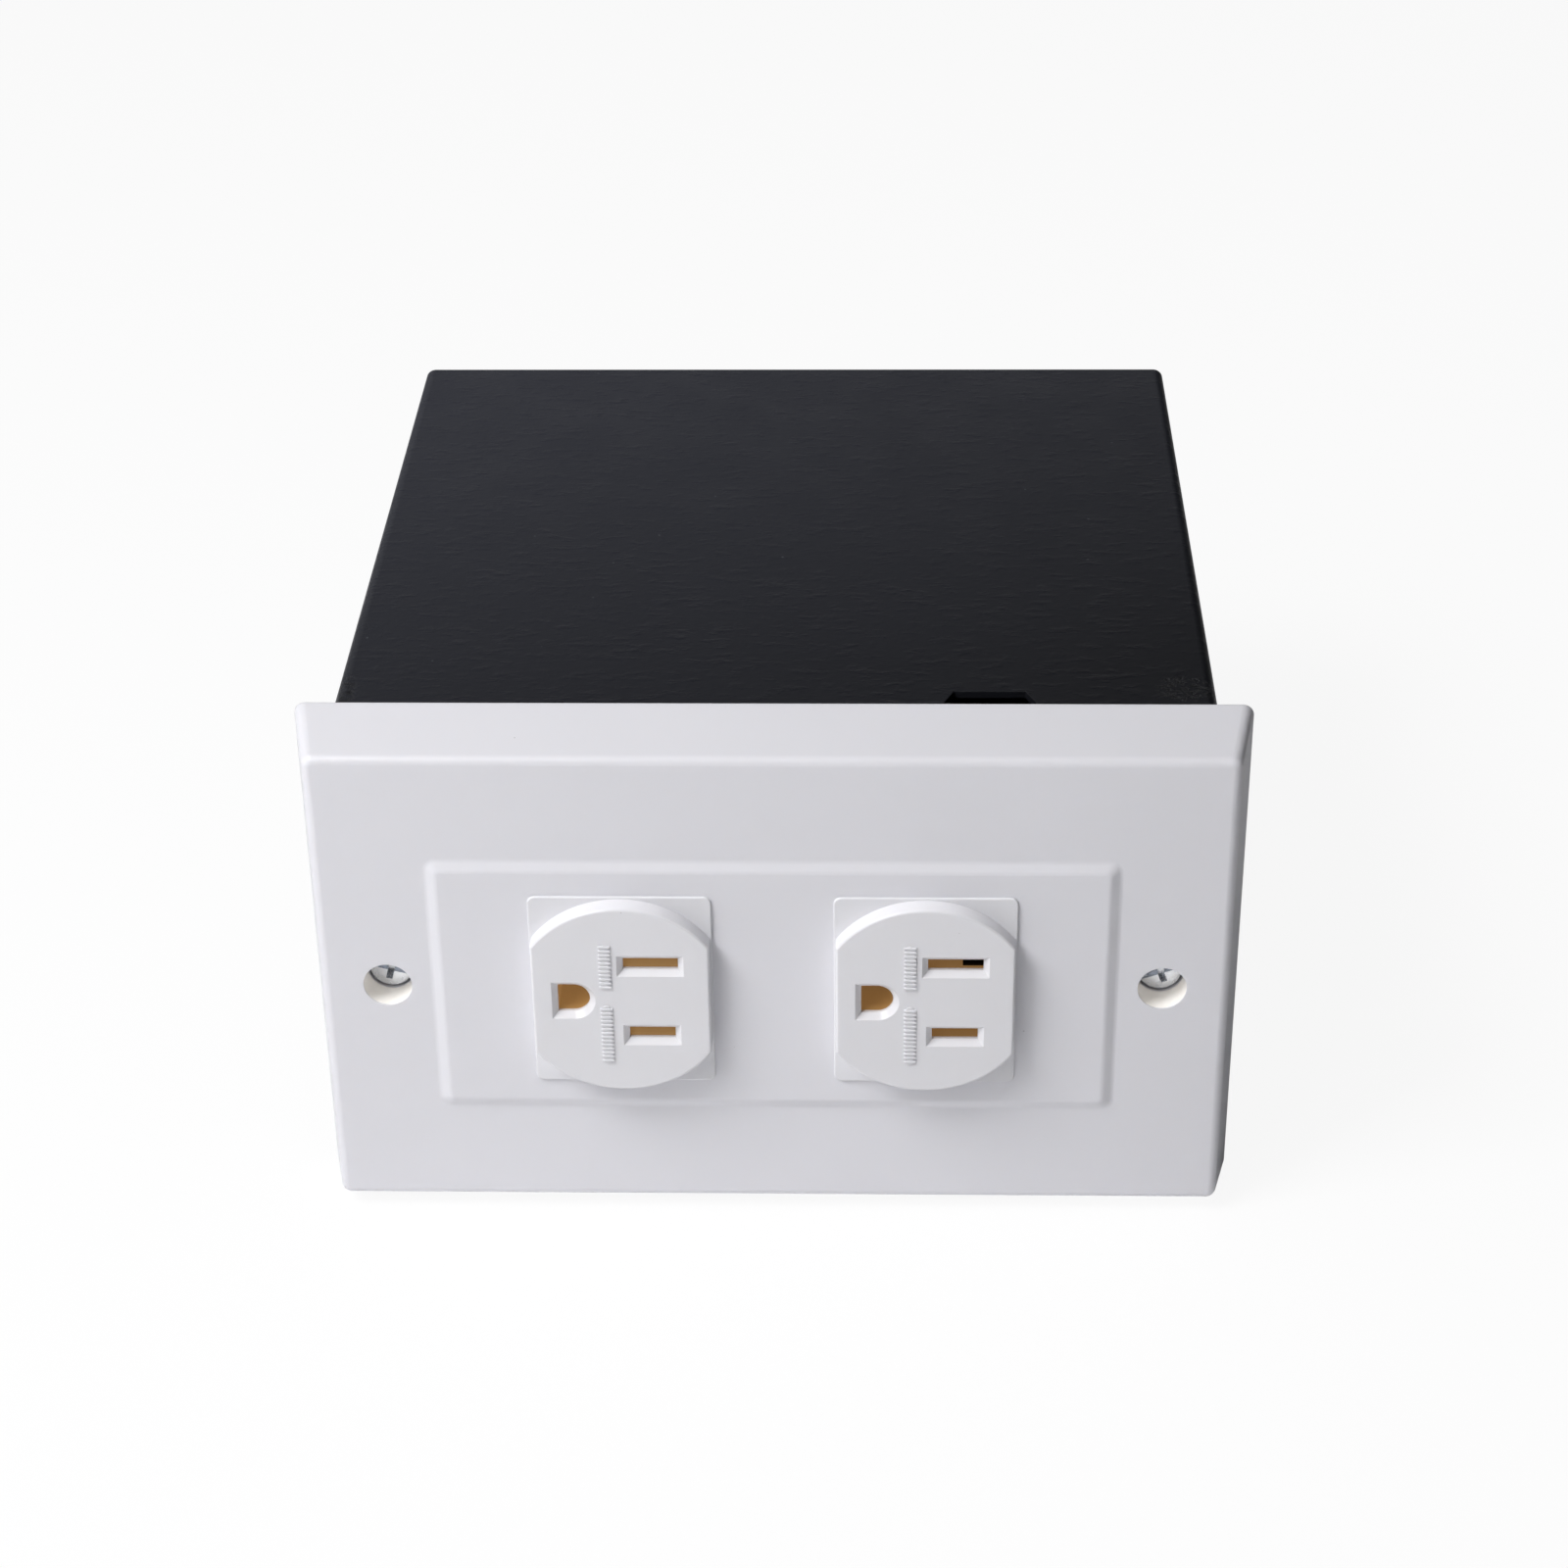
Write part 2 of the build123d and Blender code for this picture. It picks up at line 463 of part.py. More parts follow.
def shutter(drop):
    """A slider with one ramped window per blade and a lug for its spring."""
    through = (SHUTTER_Y[0] - 1, SHUTTER_Y[1] + 1)
    slider = prism(cut_corner_plate(SHUTTER_U, SHUTTER_Z, SHUTTER_CORNERS), SHUTTER_Y)
    slider -= block(WINDOW_U, through, WINDOW_Z)
    slider -= ramp_cut(WINDOW_Z[0] - SHUTTER_T, WINDOW_U)
    slider -= step_cut()
    slider -= block(HOT_WINDOW_U, through, HOT_WINDOW_Z)
    slider -= ramp_cut(HOT_WINDOW_Z[0] - SHUTTER_T, HOT_WINDOW_U)
    slider += block(LUG_U, SHUTTER_Y, LUG_Z)
    return Pos(0, 0, -drop) * slider


def shutter_spring(drop):
    length = LUG_Z[0] - drop - SPRING_SEAT_Z - 2 * SPRING_GAP
    spring = coil(SPRING_R, SPRING_WIRE_R, SPRING_TURNS, length)
    return Pos(SPRING_U, (CARRIER_Y + POCKET_Y) / 2, SPRING_SEAT_Z + SPRING_GAP) * spring


def flat_tab():
    """A push-on tab along Y, lying flat, with clipped corners at its end."""
    half, clip = TAB_W / 2, TAB_CORNER
    blank = outline(
        (-half, CONTACT_BASE_Y[1] - 0.1),
        (-half, TAB_END_Y - clip),
        (clip - half, TAB_END_Y),
        (half - clip, TAB_END_Y),
        (half, TAB_END_Y - clip),
        (half, CONTACT_BASE_Y[1] - 0.1),
    )
    return Pos(0, 0, -TAB_T / 2) * extrude(blank, TAB_T)


def blade_contact(z):
    """Two sprung strips that grip a blade, joined to a push-on tab."""
    contact = block(about(0, STRIP_W / 2), CONTACT_BASE_Y, about(0, STRIP_LINE[-1][1] + STRIP_T / 2))
    for side in (1, -1):
        outer = [(y, side * (gap + STRIP_T / 2)) for y, gap in STRIP_LINE]
        inner = [(y, side * (gap - STRIP_T / 2)) for y, gap in reversed(STRIP_LINE)]
        contact += side_profile(outer + inner, about(0, STRIP_W / 2))
    return Pos(SLOT_U, 0, z) * (contact + flat_tab())


def ground_contact():
    """A split sleeve that grips the ground pin, joined to an upright push-on tab."""
    y = (SLEEVE_Y, CONTACT_BASE_Y[1])
    contact = rod(0, 0, y, SLEEVE_R) - rod(0, 0, (SLEEVE_Y - 1, CONTACT_BASE_Y[0]), SLEEVE_BORE_R)
    contact -= block(about(0, SLEEVE_SLIT / 2), (SLEEVE_Y - 1, 1.0), (0, 2 * SLEEVE_R))
    return Pos(GROUND_U, 0, 0) * (contact + Rot(0, 90, 0) * flat_tab())


def rear_cover():
    cover = prism(RectangleRounded(BODY_W, BODY_H, BODY_R), REAR_Y)
    through = (REAR_Y[0] - 1, REAR_Y[1] + 1)
    wide, thin = TAB_W / 2 + TAB_SLOT_GAP, TAB_T / 2 + TAB_SLOT_GAP
    for u, z, upright in TABS:
        half_u, half_z = (thin, wide) if upright else (wide, thin)
        cover -= block(about(u, half_u), through, about(z, half_z))
    seat = REAR_Y[1] - BODY_HEAD_H - 0.1
    for u, z in BODY_SCREWS:
        cover -= rod(u, z, (seat, REAR_Y[1] + 1), BODY_HEAD_R + BODY_HEAD_GAP)
        cover -= rod(u, z, through, BODY_SCREW_R + BODY_HEAD_GAP)
    return cover


def body_screws():
    """Two small pan heads that hold the rear cover on."""
    seat = REAR_Y[1] - BODY_HEAD_H - 0.08
    shank_l = seat - (COLUMN_Y + 3)
    head = Cylinder(BODY_HEAD_R, BODY_HEAD_H, align=(Align.CENTER, Align.CENTER, Align.MIN))
    head = fillet(head.edges().sort_by(Axis.Z)[-1:], BODY_HEAD_H / 2)
    head -= block(about(0, 1.1), about(0, 0.3), (BODY_HEAD_H / 2, BODY_HEAD_H + 1))
    head -= block(about(0, 0.3), about(0, 1.1), (BODY_HEAD_H / 2, BODY_HEAD_H + 1))
    shank = Cylinder(BODY_SCREW_R, shank_l, align=(Align.CENTER, Align.CENTER, Align.MAX))
    screw = Rot(-90, 0, 0) * (head + shank)
    return [Pos(u, seat, z) * screw for u, z in BODY_SCREWS]


# Wiring


def quick_connect(u, z, upright):
    """A push-on terminal over a tab, with a crimp barrel for its wire."""
    inner_w, inner_t = TAB_W / 2 + TERMINAL_GAP, TAB_T / 2 + TERMINAL_GAP
    thick = about(0, inner_t + TERMINAL_WALL)
    socket = block(about(0, inner_w + TERMINAL_WALL), TERMINAL_Y, thick)
    socket -= block(about(0, inner_w), (TERMINAL_Y[0] - 1, TAB_END_Y + TERMINAL_GAP), about(0, inner_t))
    neck = block(about(0, BARREL_R), (BARREL_Y[0] - 0.05, BARREL_Y[0] + 0.8), thick)
    barrel = rod(0, 0, (BARREL_Y[0] + 0.5, BARREL_Y[1]), BARREL_R)
    barrel -= rod(0, 0, (WIRE_START_Y - 0.1, BARREL_Y[1] + 1), WIRE_R + WIRE_GAP)
    return stood(socket + neck + barrel, u, z, upright)


def terminal_boot(u, z, upright):
    outer = RectangleRounded(BOOT_W, BOOT_T, BOOT_R)
    inner = RectangleRounded(BOOT_W - 2 * BOOT_WALL, BOOT_T - 2 * BOOT_WALL, BOOT_R - BOOT_WALL)
    return stood(prism(outer - inner, BOOT_Y), u, z, upright)


def stood(piece, u, z, upright):
    """Turns a piece to match its tab and moves it there."""
    turn = Rot(0, 90, 0) if upright else Rot(0, 0, 0)
    return Pos(u, 0, z) * turn * piece


def port_x(circuit, index):
    """The sideways place of a splice's port, counted from the left."""
    return (index - (SPLICE_PORTS[circuit] - 1) / 2) * PORT_PITCH


def splice(circuit):
    """A push-in connector whose ports face the receptacles."""
    ports = SPLICE_PORTS[circuit]
    width = ports * PORT_PITCH + 2 * PORT_WALL
    body = block(about(0, width / 2), SPLICE_Y, about(SPLICE_Z[circuit], SPLICE_H / 2))
    body = fillet(body.edges().filter_by(Axis.Y), SPLICE_R)
    mouth = (SPLICE_Y[0] - 1, SPLICE_Y[0] + PORT_DEPTH)
    for index in range(ports):
        body -= rod(port_x(circuit, index), SPLICE_Z[circuit], mouth, PORT_R)
    return body


def leads(circuit, u, z):
    """Both receptacles' wires for one circuit, each to an outer port of its splice."""
    wires = []
    ends = {"left": 0, "right": SPLICE_PORTS[circuit] - 1}
    for side, x in RECEPTACLE_X.items():
        start = ((x + u, BARREL_Y[1] + 3, z), BARREL_Y[1] + 3 - WIRE_START_Y)
        end = ((port_x(circuit, ends[side]), SPLICE_Y[0] - 3, SPLICE_Z[circuit]), WIRE_IN_PORT + 3)
        wires.append(wire(start, (0, 1, 0), [], end, (0, 1, 0)))
    return wires


def bonding_lead():
    """From the ground splice forward, down and back to the ring terminal on the floor."""
    barrel_z = GROUND_TOP_Z + BARREL_R
    start = ((port_x("ground", 1), SPLICE_Y[0] - 2, 0), WIRE_IN_PORT + 2)
    bends = [(-1.9, 37, -8), (-0.6, 32, -20)]
    end = ((0, RING_BARREL_Y[0] - 1.5, barrel_z), 1.5 + 2.8)
    return wire(start, (0, -1, 0), bends, end, (0, 1, 0))


def ground_ring_terminal():
    x, y = GROUND_SCREW_XY
    ring = Pos(x, y, RING_T / 2) * Cylinder(RING_R, RING_T)
    neck = block(about(x, BARREL_R), (RING_BARREL_Y[1] - 0.5, y - 3), (0, RING_T))
    barrel = rod(x, BARREL_R, RING_BARREL_Y, BARREL_R)
    barrel -= rod(x, BARREL_R, (RING_BARREL_Y[0] - 1, RING_BARREL_Y[1] - 1), WIRE_R + WIRE_GAP)
    terminal = ring + neck + barrel - Pos(x, y, 0) * Cylinder(RING_BORE_R, 4 * RING_T)
    return Pos(0, 0, GROUND_TOP_Z) * terminal


def ground_screw():
    """A hex head with a washer face and a slot."""
    shank = Cylinder(GROUND_SCREW_R, GROUND_SCREW_L, align=(Align.CENTER, Align.CENTER, Align.MAX))
    washer = Cylinder(GROUND_WASHER_R, GROUND_WASHER_T, align=(Align.CENTER, Align.CENTER, Align.MIN))
    hexagon = extrude(RegularPolygon(GROUND_HEX, 6, major_radius=False), GROUND_HEX_H)
    slot = block(about(0, 2 * GROUND_HEX), about(0, DRIVE_SLOT_W / 2), about(GROUND_HEX_H, DRIVE_SLOT_DEPTH))
    x, y = GROUND_SCREW_XY
    return Pos(x, y, GROUND_TOP_Z + RING_T) * (shank + washer + hexagon - slot)


# Cable clamp


def cable_clamp_body():
    body = rod(0, 0, (CLAMP_HUB_Y, BOX_BACK_Y), CLAMP_HUB_R)
    body += rod(0, 0, (BOX_BACK_Y, BOX_BACK_Y + CLAMP_FLANGE_T), CLAMP_FLANGE_R)
    trough = block(about(0, SADDLE_HALF_W), (BOX_BACK_Y + CLAMP_FLANGE_T - 0.5, CLAMP_END_Y), TROUGH_Z)
    trough = fillet(trough.edges().filter_by(Axis.Y).group_by(Axis.Z)[0], TROUGH_R)
    body += trough
    body -= rod(0, 0, (CLAMP_HUB_Y - 1, CLAMP_END_Y + 1), CLAMP_BORE_R)
    body -= rod(0, 0, (BOX_BACK_Y + CLAMP_FLANGE_T, CLAMP_END_Y + 1), CLAMP_JAW_R)
    return body - clamp_screw_holes(CLAMP_SCREW_R + 0.05)


def cable_clamp_saddle():
    bar = block(about(0, SADDLE_HALF_W), SADDLE_Y, SADDLE_Z)
    bar = fillet(bar.edges().filter_by(Axis.Y).group_by(Axis.Z)[-1], SADDLE_R)
    bar -= rod(0, 0, (SADDLE_Y[0] - 1, SADDLE_Y[1] + 1), CLAMP_JAW_R)
    return bar - clamp_screw_holes(CLAMP_SCREW_R + 0.2)


def clamp_screw_places():
    y = (SADDLE_Y[0] + SADDLE_Y[1]) / 2
    return [(x, y) for x in (-CLAMP_SCREW_X, CLAMP_SCREW_X)]


def clamp_screw_holes(r):
    left, right = [Pos(x, y, 0) * Cylinder(r, 2 * CLAMP_SCREW_L) for x, y in clamp_screw_places()]
    return left + right


def cable_clamp_screws():
    shank = turned(grooved_shank(CLAMP_SCREW_R, CLAMP_SCREW_L) + [(0, 0)])
    head = Cylinder(CLAMP_HEAD_R, CLAMP_HEAD_H, align=(Align.CENTER, Align.CENTER, Align.MIN))
    head = fillet(head.edges().sort_by(Axis.Z)[-1:], CLAMP_HEAD_H / 2)
    slot_depth = about(CLAMP_HEAD_H, DRIVE_SLOT_DEPTH)
    head -= block(about(0, 2 * CLAMP_HEAD_R), about(0, DRIVE_SLOT_W / 2), slot_depth)
    screw = Rot(0, 0, CLAMP_SCREW_TURN) * (shank + head)
    return [Pos(x, y, SADDLE_Z[1]) * screw for x, y in clamp_screw_places()]


def cable_clamp_locknut():
    nut = rod(0, 0, LOCKNUT_Y, LOCKNUT_R)
    nut -= rod(0, 0, (LOCKNUT_Y[0] - 1, LOCKNUT_Y[1] + 1), CLAMP_HUB_R + 0.05)
    for index in range(LOCKNUT_NOTCHES):
        notch = block((LOCKNUT_R - 1.6, LOCKNUT_R + 1), (LOCKNUT_Y[0] - 1, LOCKNUT_Y[1] + 1), about(0, 1.5))
        nut -= Rot(0, index * 360 / LOCKNUT_NOTCHES, 0) * notch
    return nut


def receptacle_nodes(side):
    """Every piece of one receptacle, by node name."""
    drop = REST_DROP[side]
    pieces = {
        "receptacle_face": [receptacle_face()],
        "contact_carrier": [contact_carrier()],
        "shutter": [shutter(drop)],
        "shutter_spring": [shutter_spring(drop)],
        "neutral_contact": [blade_contact(SLOT_Z)],
        "hot_contact": [blade_contact(-SLOT_Z)],
        "ground_contact": [ground_contact()],
        "rear_cover": [rear_cover()],
        "body_screws": body_screws(),
    }
    place = Pos(RECEPTACLE_X[side], 0, 0)
    return {f"{side}_{name}": [place * piece for piece in found] for name, found in pieces.items()}


def at_every_tab(make):
    return [Pos(x, 0, 0) * make(*tab) for x in RECEPTACLE_X.values() for tab in TABS]


def all_nodes():
    nodes = {
        "box_wrap": [box_wrap()],
        "box_back_plate": [box_back_plate()],
        "front_cover": [front_cover()],
        "quick_connects": at_every_tab(quick_connect),
        "terminal_boots": at_every_tab(terminal_boot),
        "hot_leads": leads("hot", SLOT_U, -SLOT_Z),
        "neutral_leads": leads("neutral", SLOT_U, SLOT_Z),
        "ground_leads": leads("ground", GROUND_U, 0),
        "bonding_lead": [bonding_lead()],
        "ground_ring_terminal": [ground_ring_terminal()],
        "ground_screw": [ground_screw()],
        "cable_clamp_body": [cable_clamp_body()],
        "cable_clamp_saddle": [cable_clamp_saddle()],
        "cable_clamp_screws": cable_clamp_screws(),
        "cable_clamp_locknut": [cable_clamp_locknut()],
    }
    for circuit in SPLICE_PORTS:
        nodes[f"{circuit}_splice"] = [splice(circuit)]
    for side in RECEPTACLE_X:
        nodes[f"{side}_screw_bracket"] = [screw_bracket(side)]
        nodes[f"{side}_cover_screw"] = [cover_screw(side)]
        nodes.update(receptacle_nodes(side))
    return nodes


os.makedirs("parts", exist_ok=True)
for node, pieces in all_nodes().items():
    solids = [solid for piece in pieces for solid in piece.solids()]
    export_step(Compound(solids) if len(solids) > 1 else solids[0], f"parts/{node}.step")
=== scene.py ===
import json
import math

import bmesh
import bpy
from mathutils import Matrix, Vector


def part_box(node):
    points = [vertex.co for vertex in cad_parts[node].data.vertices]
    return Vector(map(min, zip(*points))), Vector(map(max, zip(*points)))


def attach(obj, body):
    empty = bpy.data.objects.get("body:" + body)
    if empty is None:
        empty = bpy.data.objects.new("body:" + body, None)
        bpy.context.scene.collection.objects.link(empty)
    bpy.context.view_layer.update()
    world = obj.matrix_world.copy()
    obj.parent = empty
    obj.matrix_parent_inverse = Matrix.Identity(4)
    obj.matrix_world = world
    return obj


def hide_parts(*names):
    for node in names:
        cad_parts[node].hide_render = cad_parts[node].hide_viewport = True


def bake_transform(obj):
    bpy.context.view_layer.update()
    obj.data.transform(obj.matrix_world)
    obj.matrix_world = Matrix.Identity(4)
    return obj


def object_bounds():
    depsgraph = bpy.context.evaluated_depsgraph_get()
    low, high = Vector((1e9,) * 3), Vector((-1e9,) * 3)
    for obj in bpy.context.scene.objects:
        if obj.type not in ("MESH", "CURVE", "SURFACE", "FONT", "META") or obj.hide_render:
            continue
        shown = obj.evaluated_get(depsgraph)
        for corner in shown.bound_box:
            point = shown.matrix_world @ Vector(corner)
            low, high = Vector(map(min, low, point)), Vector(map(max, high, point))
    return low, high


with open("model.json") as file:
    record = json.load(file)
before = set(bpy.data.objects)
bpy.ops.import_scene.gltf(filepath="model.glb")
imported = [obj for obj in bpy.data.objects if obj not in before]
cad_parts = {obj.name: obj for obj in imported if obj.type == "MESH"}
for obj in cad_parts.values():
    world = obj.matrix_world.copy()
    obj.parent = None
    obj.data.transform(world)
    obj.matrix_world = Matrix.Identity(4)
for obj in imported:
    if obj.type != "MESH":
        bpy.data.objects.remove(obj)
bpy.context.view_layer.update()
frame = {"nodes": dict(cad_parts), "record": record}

# Sizes are metres, in the same frame as the CAD: +X right, +Y into the wall, +Z up.
MM = 0.001
NODES = frame["nodes"]

# Places on the CAD that the materials and the added pieces follow
SCREW_X, WELL_R, WELL_START_Y, WELL_HEAD_Y = 59.5 * MM, 3.75 * MM, -11.6 * MM, -7.1 * MM
RECEPTACLE_XS, FACE_Y, SHUTTER_BACK_Y = (-23.2 * MM, 23.2 * MM), -15.91 * MM, -11.2 * MM
GROUND_HOLE_XS, GROUND_HOLE_R = [x - 7.3 * MM for x in RECEPTACLE_XS], 3.5 * MM
SCUFFS = (  # x, y and half sizes of the worn patches by the box's front corners
    (-66.2 * MM, 10 * MM, 1.8 * MM, 8 * MM),
    (63 * MM, 13 * MM, 5 * MM, 4.5 * MM),
)

# Ribs on the raised bars, and the spring coils
MARK_U, MARK_SPANS = -2.3 * MM, ((2.6 * MM, 9.9 * MM), (-11.3 * MM, -1.2 * MM))
RIB_HALF_W, RIB_HALF_H, RIB_PITCH = 0.95 * MM, 0.17 * MM, 0.73 * MM
RIB_RISE, RIB_SUNK, RIB_SOFTEN = 0.27 * MM, 0.1 * MM, 0.07 * MM
SPRING_WIRE_R, SPRING_TURNS = 0.17 * MM, 8
STEPS_PER_TURN, WIRE_SIDES = 24, 8

# Glow and light strengths, matched to the photograph
# Painted light: the screw wells' glow, not a lamp
WELL_PAINTED_GLOW = 0.11
# Painted light: the brown plastic's glow at the left and right receptacles
BROWN_PAINTED_GLOW_LEFT, BROWN_PAINTED_GLOW_RIGHT = 0.85, 0.66
FLOOR_SIZE, FLOOR_SHADE_SHARE = 12, 0.08
ROOM_DARK, ROOM_BRIGHT = 0.02, 0.17
LIGHTS = (  # name, place, aim, size, power in watts
    ("key", (-0.45, -0.30, 0.72), (0, 0, 0), (0.35, 0.35), 7.3),
    ("fill", (-0.36, -0.55, 0.53), (0, 0, 0), (0.3, 0.3), 1.2),
    ("rim", (-0.3, 1.3, 0.42), (0, 0.1, 0), (1.4, 0.3), 0.5),
)

# Camera: the photograph's viewing angle, from above and a little to the right.
CAMERA_PLACE = (0.0164, -0.4433, 0.2952)
CAMERA_DOWN, CAMERA_LEFT, CAMERA_ROLL = 30.95, 1.91, -0.81  # degrees
CAMERA_LENS, CAMERA_SENSOR = 78.05, 36  # millimetres


# Material building


class Graph:
    """Short calls for building one material's nodes."""

    def __init__(self, name):
        self.material = bpy.data.materials.new(name)
        self.material.use_nodes = True
        self.nodes = self.material.node_tree.nodes
        self.links = self.material.node_tree.links
        self.shader = self.nodes["Principled BSDF"]
        self.place = self.add("ShaderNodeTexCoord").outputs["Object"]

    def add(self, kind, **settings):
        node = self.nodes.new(kind)
        for key, value in settings.items():
            setattr(node, key, value)
        return node

    def feed(self, target, value):
        """Links a socket, or sets a plain value."""
        if isinstance(value, bpy.types.NodeSocket):
            self.links.new(value, target)
        elif target.type == "RGBA":
            target.default_value = (*value, 1)
        else:
            target.default_value = value

    def coordinates(self):
        """The surface point's own x, y and z."""
        split = self.add("ShaderNodeSeparateXYZ")
        self.feed(split.inputs["Vector"], self.place)
        return list(split.outputs)

    def stretched(self, scale):
        node = self.add("ShaderNodeMapping")
        self.feed(node.inputs["Vector"], self.place)
        node.inputs["Scale"].default_value = scale
        return node.outputs["Vector"]

    def noise(self, size, detail=2.0, rough=0.5, vector=None):
        """Noise whose features are about size metres across."""
        node = self.add("ShaderNodeTexNoise")
        self.feed(node.inputs["Vector"], vector or self.place)
        node.inputs["Scale"].default_value = 1 / size
        node.inputs["Detail"].default_value = detail
        node.inputs["Roughness"].default_value = rough
        return node.outputs["Fac"]

    def spots(self, spacing, radius):
        """1 inside scattered round spots, 0 outside."""
        node = self.add("ShaderNodeTexVoronoi", feature="F1")
        self.feed(node.inputs["Vector"], self.place)
        node.inputs["Scale"].default_value = 1 / spacing
        share = radius / spacing
        return self.span(node.outputs["Distance"], share, share * 0.6, 0, 1)

    def span(self, value, low, high, to_low, to_high):
        node = self.add("ShaderNodeMapRange")
        self.feed(node.inputs["Value"], value)
        for name, number in zip(("From Min", "From Max", "To Min", "To Max"), (low, high, to_low, to_high)):
            node.inputs[name].default_value = number
        return node.outputs["Result"]

    def maths(self, operation, a, b=0.0):
        node = self.add("ShaderNodeMath", operation=operation)
        self.feed(node.inputs[0], a)
        self.feed(node.inputs[1], b)
        return node.outputs["Value"]

    def squares(self, a, b):
        """a squared plus b squared."""
        return self.maths("ADD", self.maths("MULTIPLY", a, a), self.maths("MULTIPLY", b, b))

    def mix(self, share, a, b):
        node = self.add("ShaderNodeMix", data_type="RGBA")
        self.feed(node.inputs["Factor"], share)
        a_in, b_in = [socket for socket in node.inputs if socket.type == "RGBA"]
        self.feed(a_in, a)
        self.feed(b_in, b)
        return [socket for socket in node.outputs if socket.type == "RGBA"][0]

    def near_axis(self, xs, radius, front, back):
        """1 inside round holes along y, one about each x at z = 0, from y = front to y = back."""
        x, y, z = self.coordinates()
        total = 0.0
        for centre in xs:
            side = self.maths("SUBTRACT", x, centre)
            within = self.maths("LESS_THAN", self.squares(side, z), radius * radius)
            total = self.maths("ADD", total, within)
        behind_front, before_back = self.maths("GREATER_THAN", y, front), self.maths("LESS_THAN", y, back)
        return self.maths("MULTIPLY", total, self.maths("MULTIPLY", behind_front, before_back))

    def scuffed(self, x, y, half_x, half_y):
        """1 in the middle of an oval patch on the top or bottom, falling to 0 at its rim."""
        here_x, here_y, _ = self.coordinates()
        across = self.maths("DIVIDE", self.maths("SUBTRACT", here_x, x), half_x)
        along = self.maths("DIVIDE", self.maths("SUBTRACT", here_y, y), half_y)
        return self.span(self.squares(across, along), 0.2, 1.0, 1, 0)

    def edges(self, radius):
        """1 along sharp edges, 0 on flats."""
        bevel = self.add("ShaderNodeBevel", samples=4)
        bevel.inputs["Radius"].default_value = radius
        normal = self.add("ShaderNodeNewGeometry").outputs["Normal"]
        dot = self.add("ShaderNodeVectorMath", operation="DOT_PRODUCT")
        self.feed(dot.inputs[0], bevel.outputs["Normal"])
        self.feed(dot.inputs[1], normal)
        return self.span(dot.outputs["Value"], 0.99, 0.85, 0, 1)

    def bump(self, height, depth, soft_edge=0.0):
        """Surface relief depth metres deep, with edges softened in shading."""
        node = self.add("ShaderNodeBump")
        node.inputs["Distance"].default_value = depth
        node.inputs["Strength"].default_value = 1.0
        self.feed(node.inputs["Height"], height)
        if soft_edge:
            bevel = self.add("ShaderNodeBevel", samples=4)
            bevel.inputs["Radius"].default_value = soft_edge
            self.feed(node.inputs["Normal"], bevel.outputs["Normal"])
        self.feed(self.shader.inputs["Normal"], node.outputs["Normal"])

    def set(self, **inputs):
        for name, value in inputs.items():
            self.feed(self.shader.inputs[name.replace("_", " ")], value)


def moulded_plastic(name, colour, rough=0.38, tint=0.03, depth=0.004 * MM, soft=0.12 * MM, inside=0.0):
    """Moulded plastic: cloudy colour, faint pebbling and softened edges."""
    g = Graph(name)
    dark = tuple(c * (1 - tint) for c in colour)
    g.base = g.mix(g.noise(22 * MM, 3), dark, colour)
    g.set(Base_Color=g.base)
    g.set(Roughness=g.span(g.noise(6 * MM, 4), 0.3, 0.7, rough - 0.05, rough + 0.05))
    g.set(Specular_IOR_Level=0.5)
    if inside:
        g.set(Subsurface_Weight=inside, Subsurface_Radius=(1.0, 0.9, 0.8), Subsurface_Scale=1.2 * MM)
    fine = g.noise(0.5 * MM, 2)
    broad = g.noise(9 * MM, 1)
    g.bump(g.maths("ADD", g.maths("MULTIPLY", fine, 0.4), broad), depth, soft)
    return g


def white_plastic(name, colour, rough, wells=()):
    """White plastic with a few dust specks. The screw wells' walls are painted cream, partly their own tint
    and partly painted light, with a faint painted glow.
    """
    g = moulded_plastic(name, colour, rough, 0.025, inside=0.15)
    dusty = g.mix(g.maths("MULTIPLY", g.spots(9 * MM, 0.16 * MM), 0.45), g.base, (0.30, 0.28, 0.28))
    g.set(Base_Color=dusty)
    if wells:
        # Painted light: the wells' walls between WELL_START_Y and WELL_HEAD_Y are painted a lighter cream
        # and made to glow faintly
        within = g.near_axis(wells, WELL_R + 0.1 * MM, WELL_START_Y, WELL_HEAD_Y)
        g.set(Base_Color=g.mix(within, dusty, (0.88, 0.86, 0.83)))
        g.set(Emission_Color=(1.0, 0.93, 0.85), Emission_Strength=g.maths("MULTIPLY", within, WELL_PAINTED_GLOW))
    return g


